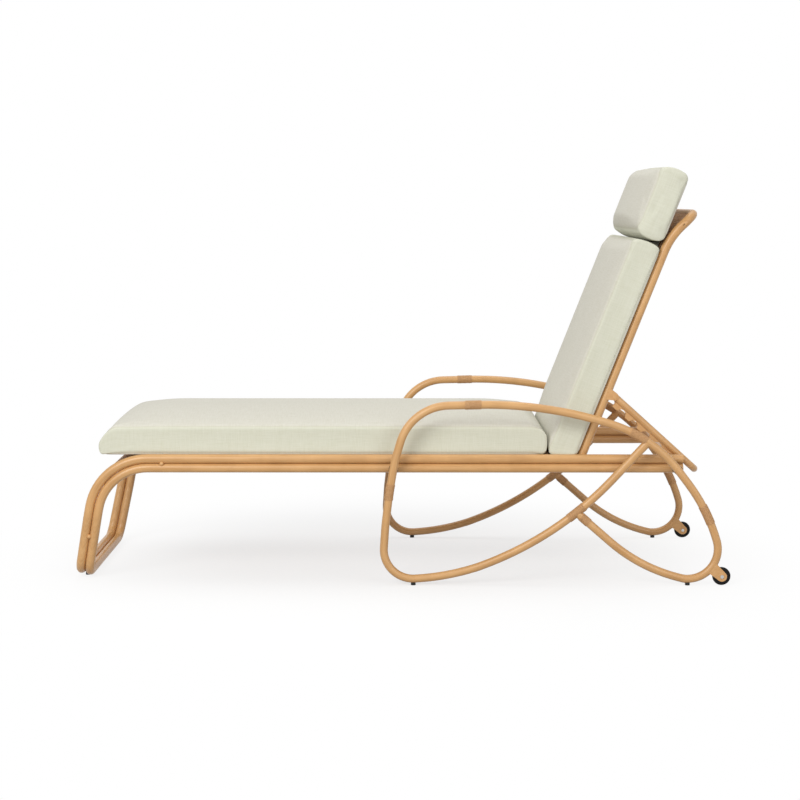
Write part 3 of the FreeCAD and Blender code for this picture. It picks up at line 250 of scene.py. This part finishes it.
def speckled(name, dark, light, cells, roughness, metallic, bump, shine=0.5):
    """A fine-grained finish between two close colours."""
    made, tree, shader, place = finish(name)
    specks = grain(tree, place, (cells, cells, cells), 3.0)
    tree.links.new(ramp(tree, specks, [(0.35, dark), (0.65, light)]), shader.inputs["Base Color"])
    relief = node(tree, "ShaderNodeBump", Strength=bump, Distance=0.0002, Height=specks)
    tree.links.new(relief.outputs[0], shader.inputs["Normal"])
    shader.inputs["Roughness"].default_value = roughness
    shader.inputs["Metallic"].default_value = metallic
    shader.inputs["Specular IOR Level"].default_value = shine
    return made


steel = speckled("bright_steel", paint(176, 174, 170), paint(206, 204, 200), 900, 0.28, 1.0, 0.15)
nylon = speckled("milky_nylon", paint(206, 202, 192), paint(222, 219, 210), 500, 0.5, 0.0, 0.1)
black_plastic = speckled("black_plastic", paint(26, 25, 24), paint(40, 38, 36), 1200, 0.5, 0.0, 0.35, 0.3)
dress(["hoop_bolts", "left_axle_bolt", "right_axle_bolt", "left_axle_nut", "right_axle_nut",
       "hinge_bolts"], steel)
dress(["hinge_washers"], nylon)
dress(["hoop_spacers", "hoop_glides", "front_glides"], black_plastic)

# Bindings. Cane bast is wound close round the hoop tubes where their pieces join: on the arm, at
# the splice in front, under the arm, at the rear corner, and crosswise where the tubes pass.
bast, tree, shader, place = finish("cane_bast")
threads = grain(tree, place, (420, 420, 420), 2.0)
colour = ramp(tree, threads, [
    (0.30, paint(184, 138, 92)),
    (0.50, paint(202, 157, 109)),
    (0.72, paint(212, 169, 121)),
])
tree.links.new(colour, shader.inputs["Base Color"])
relief = node(tree, "ShaderNodeBump", Strength=0.25, Distance=0.0002, Height=threads)
tree.links.new(relief.outputs[0], shader.inputs["Normal"])
shader.inputs["Roughness"].default_value = 0.62

turn_pitch = 0.0019
turn_tilt = 0.045
turn_form = {"major_segments": 30, "minor_segments": 6, "major_radius": 0.01152, "minor_radius": 0.00098}


def winding(first, middle, last, y):
    """Close turns of bast round a tube that passes through three points of the x-z plane, in mm."""
    first, middle, last = (Vector((x, 0, z)) / 1000 for x, z in (first, middle, last))
    turns = round((last - first).length / turn_pitch)
    for turn in range(turns):
        share = (turn + 0.5) / turns
        near = (1 - share) * (1 - 2 * share)
        mid = 4 * share * (1 - share)
        far = share * (2 * share - 1)
        place = first * near + middle * mid + last * far
        way = first * (4 * share - 3) + middle * (4 - 8 * share) + last * (4 * share - 1)
        place.y = y
        bpy.ops.mesh.primitive_torus_add(
            align="WORLD", location=place, rotation=(turn_tilt, math.atan2(way.x, way.z), 0), **turn_form)


hoop_sides = (("left", -0.34), ("right", 0.34))
bound_joints = {
    "on the arm": ((175.01, 492.6), (197, 493.14), (218.99, 493.62)),
    "under the arm": ((620.89, 420.26), (643, 408.61), (664.29, 395.51)),
    "rear corner": ((818.9, 218.0), (831.25, 194), (842.28, 169.36)),
    "crossing, brace tube": ((456.76, 183.14), (478, 199.82), (498.74, 217.11)),
    "crossing, arm tube": ((490.4, 189.0), (500.8, 179.9), (511.15, 170.89)),
    "splice in front": ((-25.18, 277.67), (-29, 256), (-31.58, 234.15)),
}
for side, y in hoop_sides:
    bpy.ops.object.select_all(action="DESELECT")
    bpy.ops.mesh.primitive_torus_add(
        align="WORLD", location=(-0.029, y, 0.256), rotation=(turn_tilt, 0, 0), **turn_form)
    wraps = bpy.context.object
    wraps.name = side + "_windings"
    bpy.ops.object.transform_apply(location=True, rotation=True, scale=True)
    bpy.ops.object.mode_set(mode="EDIT")
    for joint in bound_joints.values():
        winding(*joint, y)
    bpy.ops.object.mode_set(mode="OBJECT")
    bpy.ops.object.shade_smooth()
    wraps.data.materials.append(bast)
    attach(wraps, "frame")
    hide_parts(side + "_bindings")

# Woven decks. Flat brown strips are plaited over and under each other, stretched between the
# rails of the seat, round its front bend, and between the tubes of the back rest.
strip_finish, tree, shader, place = finish("plaited_strip")
fibres = grain(tree, place, (60, 420, 60), 3.0)
crossed = grain(tree, place, (420, 60, 420), 3.0)
mixed_fibres = blended(tree, 0.5, fibres, crossed)
colour = ramp(tree, mixed_fibres, [
    (0.36, paint(168, 123, 88)),
    (0.50, paint(196, 150, 109)),
    (0.64, paint(216, 173, 131)),
])
tree.links.new(colour, shader.inputs["Base Color"])
relief = node(tree, "ShaderNodeBump", Strength=0.35, Distance=0.0003, Height=mixed_fibres)
tree.links.new(relief.outputs[0], shader.inputs["Normal"])
shader.inputs["Roughness"].default_value = 0.55


def plait(name, length, half_width, course):
    """Strips both ways in one panel, each point laid along the course of the deck."""
    pitch = 0.014
    strip = 0.0122
    lift = 0.00075
    held_level = 0.27
    counts = (round(length / pitch), round(2 * half_width / pitch))
    spans = (length, 2 * half_width)
    pair = []
    for way in (0, 1):
        crossings, strips = counts[way], counts[1 - way]
        bpy.ops.object.select_all(action="DESELECT")
        bpy.ops.mesh.primitive_grid_add(x_subdivisions=2 * crossings, y_subdivisions=2 * strips - 1, size=1)
        sheet = bpy.context.object
        bpy.ops.object.mode_set(mode="EDIT")
        shape = bmesh.from_edit_mesh(sheet.data)
        gap_width = 1 / (2 * strips - 1)
        for face in shape.faces:
            column = int((face.calc_center_median().y + 0.5) / gap_width)
            face.select_set(column % 2 == 1)
        bmesh.update_edit_mesh(sheet.data)
        bpy.ops.mesh.delete(type="FACE")
        bpy.ops.object.mode_set(mode="OBJECT")
        step = spans[way] / crossings
        spacing = spans[1 - way] / strips
        for vertex in sheet.data.vertices:
            row = round((vertex.co.y + 0.5) * (2 * strips - 1))
            number = row // 2
            mark = round((vertex.co.x + 0.5) * 2 * crossings)
            crossing = min(mark // 2, crossings - 1)
            side = 1 if row % 2 else -1
            along = (crossing + 0.5) * step + (held_level if mark % 2 else -held_level) * step
            if mark in (0, 2 * crossings):
                along = mark / 2 * step
            aside = (number + 0.5) * spacing + side * strip / 2
            over = 1 if (crossing + number + way) % 2 else -1
            height = over * lift
            run, cross = (along, aside) if way == 0 else (aside, along)
            vertex.co = course(run, cross - half_width, height)
        pair.append(sheet)
    bpy.ops.object.select_all(action="DESELECT")
    for sheet in pair:
        sheet.select_set(True)
    bpy.context.view_layer.objects.active = pair[0]
    bpy.ops.object.join()
    deck = bpy.context.object
    deck.name = name
    bpy.ops.object.transform_apply(location=True, rotation=True, scale=True)
    bpy.ops.object.mode_set(mode="EDIT")
    bpy.ops.mesh.select_all(action="SELECT")
    bpy.ops.mesh.normals_make_consistent(inside=False)
    bpy.ops.object.mode_set(mode="OBJECT")
    body = deck.modifiers.new("strip_thickness", "SOLIDIFY")
    body.thickness = 0.0011
    body.offset = 0
    bpy.ops.object.modifier_apply(modifier="strip_thickness")
    bpy.ops.object.shade_smooth_by_angle(angle=math.radians(40))
    deck.data.materials.append(strip_finish)
    return deck


seat_flat = 1.1549


def seat_course(run, cross, height):
    """Flat from the rear of the seat to the front bend, then round it."""
    rear, level, radius = 0.465, 0.3471, 0.1701
    if run < seat_flat:
        return Vector((rear - run, cross, level + height))
    turn = (run - seat_flat) / radius
    reach = radius + height
    return Vector((rear - seat_flat - reach * math.sin(turn), cross, level - radius + reach * math.cos(turn)))


back_up = Vector((0.3633, 0, 0.9317))
back_front = Vector((-0.9317, 0, 0.3633))
hinge = Vector((0.495, 0, 0.3396))


def back_course(run, cross, height):
    """Up the back rest in front of its tube, then back over the bend at its top."""
    straight = 0.582
    radius = 0.208
    bend = math.radians(27)
    bend_centre = hinge + back_up * 0.602 - back_front * 0.200
    level = 0.008 + height
    if run < straight:
        place = hinge + back_up * (0.020 + run) + back_front * level
    else:
        turn = min((run - straight) / radius, bend)
        ahead = max(0.0, run - straight - radius * bend)
        out = back_front * math.cos(turn) + back_up * math.sin(turn)
        on = back_up * math.cos(turn) - back_front * math.sin(turn)
        place = bend_centre + out * (0.200 + level) + on * ahead
    return Vector((place.x, cross, place.z))


seat_weave = plait("seat_weave", seat_flat + 0.1633, 0.2787, seat_course)
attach(seat_weave, "frame")
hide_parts("seat_deck")
back_weave = plait("back_weave", 0.582 + 0.098 + 0.030, 0.2507, back_course)
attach(back_weave, "back_rest")
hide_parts("back_deck")

# Wheels. A solid black rubber tyre with rounded shoulders and a groove round its tread sits on a
# moulded hub with a dished face and a boss, which turns on the axle bolt.
rubber = speckled("black_rubber", paint(16, 16, 16), paint(28, 27, 26), 800, 0.72, 0.0, 0.5, 0.15)
hub_plastic = speckled("hub_plastic", paint(30, 29, 28), paint(46, 44, 42), 600, 0.4, 0.0, 0.2, 0.3)
wheel_turn = Matrix.Rotation(math.radians(90), 4, "X")


def lathed(name, outline, y):
    """A ring turned from a closed outline of radius and width, on the wheel's axis."""
    bpy.ops.object.select_all(action="DESELECT")
    bpy.ops.mesh.primitive_circle_add(vertices=len(outline), radius=1, location=(0, 0, 0))
    ring = bpy.context.object
    ring.name = name
    for vertex, (radius, width) in zip(ring.data.vertices, outline):
        vertex.co = (radius / 1000, 0, width / 1000)
    bpy.ops.object.mode_set(mode="EDIT")
    bpy.ops.mesh.select_all(action="SELECT")
    bpy.ops.mesh.spin(steps=56, angle=math.radians(360), center=(0, 0, 0), axis=(0, 0, 1))
    bpy.ops.mesh.select_all(action="SELECT")
    bpy.ops.mesh.remove_doubles(threshold=0.00001)
    bpy.ops.mesh.normals_make_consistent(inside=False)
    bpy.ops.object.mode_set(mode="OBJECT")
    bpy.ops.object.shade_smooth_by_angle(angle=math.radians(38))
    ring.data.transform(Matrix.Translation((0.873716, y, 0.025043)) @ wheel_turn)
    return ring


tyre_outline = [
    (16.5, -6.4), (17.6, -7.5), (20.0, -7.6), (22.4, -6.6), (24.0, -4.6), (24.5, -2.4), (24.5, -1.0),
    (23.9, -0.5), (23.9, 0.5), (24.5, 1.0), (24.5, 2.4), (24.0, 4.6), (22.4, 6.6), (20.0, 7.6),
    (17.6, 7.5), (16.5, 6.4),
]
hub_outline = [
    (3.1, -7.4), (5.4, -7.4), (6.2, -6.6), (7.2, -4.2), (12.4, -3.8), (13.8, -6.0), (14.8, -7.0),
    (16.4, -7.0), (16.4, 7.0), (14.8, 7.0), (13.8, 6.0), (12.4, 3.8), (7.2, 4.2), (6.2, 6.6),
    (5.4, 7.4), (3.1, 7.4),
]
for side, y in hoop_sides:
    tyre = lathed(side + "_rubber_tyre", tyre_outline, y)
    tyre.data.materials.append(rubber)
    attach(tyre, side + "_wheel")
    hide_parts(side + "_tyre")
    hub = lathed(side + "_moulded_hub", hub_outline, y)
    hub.data.materials.append(hub_plastic)
    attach(hub, side + "_wheel")
    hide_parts(side + "_wheel_hub")

# Cushion cover. A pale, slightly green linen-like cloth in plain weave, with thicker threads here
# and there; the face panels are painted a little greyer than the boxing round the sides, a painted
# reflection of the pale room they face, and the seams get a darker band of painted shade.
cloth_finish, tree, shader, place = finish("linen_cover")
lay = node(tree, "ShaderNodeAttribute", {"attribute_name": "lay"}).outputs["Vector"]
painted_light_on_faces = node(tree, "ShaderNodeAttribute", {"attribute_name": "face_panel"}).outputs["Fac"]
painted_seam_shade = node(tree, "ShaderNodeAttribute", {"attribute_name": "painted_seam_shade"}).outputs["Fac"]
warp = grain(tree, lay, (40, 1400, 1400), 2.0)
weft = grain(tree, lay, (1400, 40, 40), 2.0)
slub_warp = grain(tree, lay, (26, 460, 460), 2.0)
slub_weft = grain(tree, lay, (460, 26, 26), 2.0)
threads = blended(tree, 0.5, warp, weft)
slubs = blended(tree, 0.5, slub_warp, slub_weft)
cloth_grain = blended(tree, 0.5, threads, slubs)
boxing = ramp(tree, cloth_grain, [(0.36, paint(207, 207, 186)), (0.50, paint(214, 214, 196)),
                                  (0.66, paint(220, 220, 204))])
# Painted light: the face panels get a greyer, less green copy of the cloth colour, a painted reflection of
# the pale room they face.
face = ramp(tree, cloth_grain, [(0.36, paint(203, 200, 184)), (0.50, paint(212, 209, 196)),
                                (0.66, paint(219, 217, 206))])
colour = blended(tree, painted_light_on_faces, boxing, face, "RGBA")
# Painted shade: a darker, yellower band of the cloth colour along each seam stands in for the shade in the
# drawn-in seam groove.
shaded = blended(tree, painted_seam_shade, colour, paint(186, 184, 158), "RGBA")
tree.links.new(shaded, shader.inputs["Base Color"])
relief = node(tree, "ShaderNodeBump", Strength=0.5, Distance=0.0005, Height=cloth_grain)
tree.links.new(relief.outputs[0], shader.inputs["Normal"])
shader.inputs["Roughness"].default_value = 0.9
shader.inputs["Sheen Weight"].default_value = 0.12
shader.inputs["Specular IOR Level"].default_value = 0.25

# Seat cushion, back cushion and headrest. Foam in a boxed cover: a crowned face panel, a plain
# back panel and a strip of boxing between them, joined by seams that draw in a little, with a band of painted
# shade along the seams.
corner_radius = 0.040


def rounded_inside(x, y, length, half):
    """How far a point of the plan lies inside its outline with rounded corners."""
    past_x = abs(x - length / 2) - (length / 2 - corner_radius)
    past_y = abs(y) - (half - corner_radius)
    outside = math.hypot(max(past_x, 0), max(past_y, 0))
    return corner_radius - outside - min(max(past_x, past_y), 0)


def cover_blank(name, length, half, side):
    """A box with rounded corners and softened edges, cut from the cloth, meshed evenly."""
    bpy.ops.object.select_all(action="DESELECT")
    bpy.ops.mesh.primitive_cube_add(size=1, location=(length / 2, 0, side / 2))
    cover = bpy.context.object
    cover.name = name
    cover.scale = (length, 2 * half, side)
    bpy.ops.object.transform_apply(location=True, rotation=True, scale=True)
    bpy.ops.object.mode_set(mode="EDIT")
    shape = bmesh.from_edit_mesh(cover.data)
    for edge in shape.edges:
        edge.select_set(abs(edge.verts[0].co.z - edge.verts[1].co.z) > side / 2)
    bmesh.update_edit_mesh(cover.data)
    bpy.ops.mesh.bevel(offset=corner_radius, segments=8, affect="EDGES")
    shape = bmesh.from_edit_mesh(cover.data)
    for edge in shape.edges:
        low, high = sorted(point.co.z for point in edge.verts)
        edge.select_set(high < 0.0001 or low > side - 0.0001)
    bmesh.update_edit_mesh(cover.data)
    bpy.ops.mesh.bevel(offset=0.010, segments=4, affect="EDGES")
    bpy.ops.object.mode_set(mode="OBJECT")
    even = cover.modifiers.new("even_mesh", "REMESH")
    even.mode = "VOXEL"
    even.voxel_size = 0.006
    bpy.ops.object.modifier_apply(modifier="even_mesh")
    return cover


def crown(cover, length, half, side, rise, falls, bulge, drops, slant):
    """Raise the face panel, round its two ends and pull the boxing in between the corners."""
    end_round, bulge_reach, foot_reach, waist_depth = 0.044, 0.070, 0.110, 0.003
    for vertex in cover.data.vertices:
        x, y, z = vertex.co
        from_end = max(0.0, min(x, length - x))
        end = 0 if x < length / 2 else 1
        across = min(1.0, abs(y) / half)
        up = min(1.0, max(0.0, z / side))
        swell = math.sin(math.pi / 2 * min(1.0, from_end / falls[end])) ** 0.9
        middle = 1 - across ** 2.2
        end_fall = drops[end] * (1 - min(1.0, from_end / end_round)) ** 1.7
        vertex.co.z = z + up * (rise * swell * middle - end_fall)
        near_end = (1 - min(1.0, from_end / bulge_reach)) ** 1.5
        outward = bulge * near_end * (1 - (2 * up - 1) ** 2) * (1 - 0.25 * across ** 4)
        foot = slant * (1 - up) * (1 - min(1.0, from_end / foot_reach)) ** 1.2
        vertex.co.x = x - outward + foot if x < length / 2 else x + outward
        waist = waist_depth * (1 - (2 * up - 1) ** 2) * across
        mid_length = 1 - (2 * x / length - 1) ** 4
        vertex.co.y = y - math.copysign(waist * mid_length, y)


def stuffed(cover, limit):
    """Let the foam press the cover out, its underside held flat and no point moving too far."""
    held = cover.vertex_groups.new(name="underside")
    held.add([vertex.index for vertex in cover.data.vertices if vertex.co.z < 0.003], 1.0, "REPLACE")
    press = cover.modifiers.new("pressed_out", "CLOTH")
    press.settings.quality = 4
    press.settings.mass = 0.3
    press.settings.use_pressure = True
    press.settings.uniform_pressure_force = 4
    press.settings.vertex_group_mass = "underside"
    press.settings.effector_weights.gravity = 0
    press.point_cache.frame_start = 1
    press.point_cache.frame_end = 20
    before = [vertex.co.copy() for vertex in cover.data.vertices]
    for step in range(1, 21):
        bpy.context.scene.frame_set(step)
    bpy.ops.object.modifier_apply(modifier="pressed_out")
    bpy.context.scene.frame_set(1)
    for vertex, start in zip(cover.data.vertices, before):
        move = vertex.co - start
        if move.length > limit:
            vertex.co = start + move * (limit / move.length)
        vertex.co.z = max(vertex.co.z, 0.0)


def fitted(cover, length, half, top):
    """Bring the pressed cover back to its sewn length, width and height."""
    for axis, low, high in ((0, 0.0, length), (1, -half, half), (2, 0.0, top)):
        least = min(vertex.co[axis] for vertex in cover.data.vertices)
        most = max(vertex.co[axis] for vertex in cover.data.vertices)
        scale = (high - low) / (most - least)
        for vertex in cover.data.vertices:
            vertex.co[axis] = low + (vertex.co[axis] - least) * scale


def cushion(name, length, half, side, rise, falls, bulge, drops, slant, limit, place):
    """One cushion from its sewn sizes: cut, crowned, pressed out, seamed and laid in its place."""
    seam_depth, seam_reach, seam_shade_reach, panel_edge = 0.0016, 0.0042, 0.0021, 0.004
    cut_length = length - 2 * bulge
    cut_half = half - 0.004
    cover = cover_blank(name, cut_length, cut_half, side)
    cover.data.attributes.new("lay", "FLOAT_VECTOR", "POINT")
    for vertex, mark in zip(cover.data.vertices, cover.data.attributes["lay"].data):
        mark.vector = vertex.co
    crown(cover, cut_length, cut_half, side, rise, falls, bulge, drops, slant)
    stuffed(cover, limit)
    fitted(cover, length, half, side + rise)
    finer = cover.modifiers.new("finer", "SUBSURF")
    finer.levels = 1
    finer.render_levels = 1
    bpy.ops.object.modifier_apply(modifier="finer")
    faces = cover.data.attributes.new("face_panel", "FLOAT", "POINT")
    seam_shade_layer = cover.data.attributes.new("painted_seam_shade", "FLOAT", "POINT")
    lay = cover.data.attributes["lay"]
    normals = [vertex.normal.copy() for vertex in cover.data.vertices]
    for index, vertex in enumerate(cover.data.vertices):
        x, y, z = lay.data[index].vector
        inside = rounded_inside(x, y, cut_length, cut_half)
        from_seam = inside - min(z, side - z)
        vertex.co -= normals[index] * seam_depth * math.exp(-(from_seam / seam_reach) ** 2)
        # face_panel marks the face panels, which the cover's finish paints greyer as a painted reflection of
        # the room.
        faces.data[index].value = min(1.0, max(0.0, 0.5 + from_seam / panel_edge))
        # This share carries the painted shade along the seam groove.
        seam_shade_layer.data[index].value = 0.45 * math.exp(-(from_seam / seam_shade_reach) ** 2)
    cover.data.transform(place @ Matrix.Translation((0, 0, 0.0002)))
    bpy.ops.object.shade_smooth()
    cover.data.materials.append(cloth_finish)
    return cover


def on_back(start):
    """The place of a cushion on the back rest, from a distance above the hinge."""
    origin = hinge + back_up * start + back_front * 0.0132
    turn = Matrix((back_up, Vector((0, 1, 0)), back_front)).transposed().to_4x4()
    return Matrix.Translation(origin) @ turn


seat = cushion("seat_pad", 1.226, 0.290, 0.083, 0.030, (0.190, 0.170), 0.007, (0.040, 0.018), 0.0, 0.003,
               Matrix.Translation((-0.824, 0, 0.3494)))
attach(seat, "frame")
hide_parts("seat_cushion")
heel = 0.0265
back = cushion("back_pad", 0.609 + heel, 0.290, 0.084, 0.025, (0.150, 0.045), 0.007, (0.006, 0.004), heel,
               0.003, on_back(0.006 - heel))
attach(back, "back_rest")
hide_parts("back_cushion")
head = cushion("headrest_pad", 0.208, 0.290, 0.084, 0.025, (0.035, 0.035), 0.011, (0.004, 0.004), 0.0,
               0.0025, on_back(0.617))
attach(head, "back_rest")
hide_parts("headrest_cushion")

# Joining strip. A band of the same cloth, sewn to the rear of the back cushion and of the
# headrest, lets the headrest hang from the back cushion; it has a turned hem on each side.
bpy.ops.object.select_all(action="DESELECT")
bpy.ops.mesh.primitive_grid_add(x_subdivisions=16, y_subdivisions=48, size=1)
band = bpy.context.object
band.name = "joining_strip"
band_length, band_width, hem_width = 0.078, 0.400, 0.008
for vertex in band.data.vertices:
    along = (vertex.co.x + 0.5) * band_length
    across = vertex.co.y * band_width
    hem = 0.00018 if abs(across) > band_width / 2 - hem_width else 0.0
    ripple = 0.00012 * math.sin(across * 160)
    vertex.co = hinge + back_up * (0.5735 + along) + back_front * (0.0127 + ripple + hem)
    vertex.co.y = across
thick = band.modifiers.new("cloth_thickness", "SOLIDIFY")
thick.thickness = 0.0006
thick.offset = 0
bpy.ops.object.modifier_apply(modifier="cloth_thickness")
marks = band.data.attributes.new("lay", "FLOAT_VECTOR", "POINT")
for vertex, mark in zip(band.data.vertices, marks.data):
    mark.vector = vertex.co
bpy.ops.object.shade_smooth_by_angle(angle=math.radians(40))
band.data.materials.append(cloth_finish)
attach(band, "back_rest")
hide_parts("headrest_strip")
